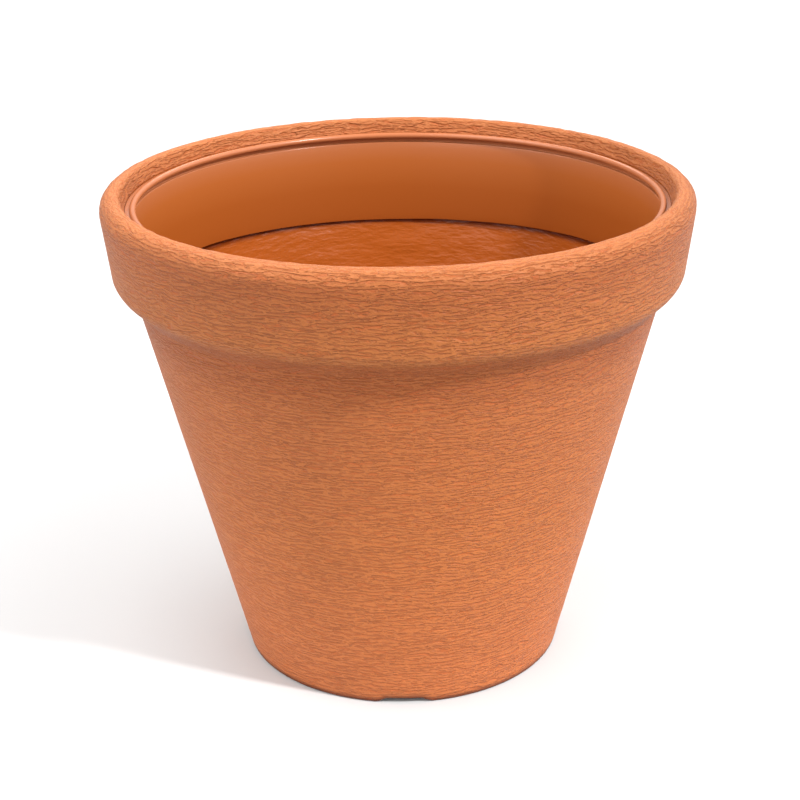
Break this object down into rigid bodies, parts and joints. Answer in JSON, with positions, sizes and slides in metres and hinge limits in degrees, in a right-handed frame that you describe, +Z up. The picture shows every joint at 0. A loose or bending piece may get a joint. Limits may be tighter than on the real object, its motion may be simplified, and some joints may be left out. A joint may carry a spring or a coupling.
{
  "type": "flower pot",
  "caption": "Round tapered plastic flower pot with a leaning collar, a rolled rim, a snap-in mouth sleeve, foot notches and pull-out drain plugs.",
  "frame": {"origin": "centre of the foot ring, on the ground", "axes": "+Z up along the pot's own axis, -Y towards the front foot notch"},
  "size_m": [0.3998, 0.3998, 0.338],
  "materials": {
    "shell": "moulded plastic with a brushed-clay relief outside, glossy and softly wavy inside",
    "sleeve": "smooth satin moulded plastic",
    "plug": "smooth soft-touch moulded plastic"
  },
  "bodies": {
    "pot": {"pot_shell": "shell", "rim_sleeve": "sleeve"},
    "plug_1": {"drain_plug_1": "plug"},
    "plug_2": {"drain_plug_2": "plug"},
    "plug_3": {"drain_plug_3": "plug"},
    "plug_4": {"drain_plug_4": "plug"}
  },
  "joints": [
    {"name": "plug_1_pull", "type": "slide", "parent": "pot", "child": "plug_1", "axis": [0, 0, 1], "range_m": [0, 0.345]},
    {"name": "plug_2_pull", "type": "slide", "parent": "pot", "child": "plug_2", "axis": [0, 0, 1], "range_m": [0, 0.345]},
    {"name": "plug_3_pull", "type": "slide", "parent": "pot", "child": "plug_3", "axis": [0, 0, 1], "range_m": [0, 0.345]},
    {"name": "plug_4_pull", "type": "slide", "parent": "pot", "child": "plug_4", "axis": [0, 0, 1], "range_m": [0, 0.345]}
  ]
}
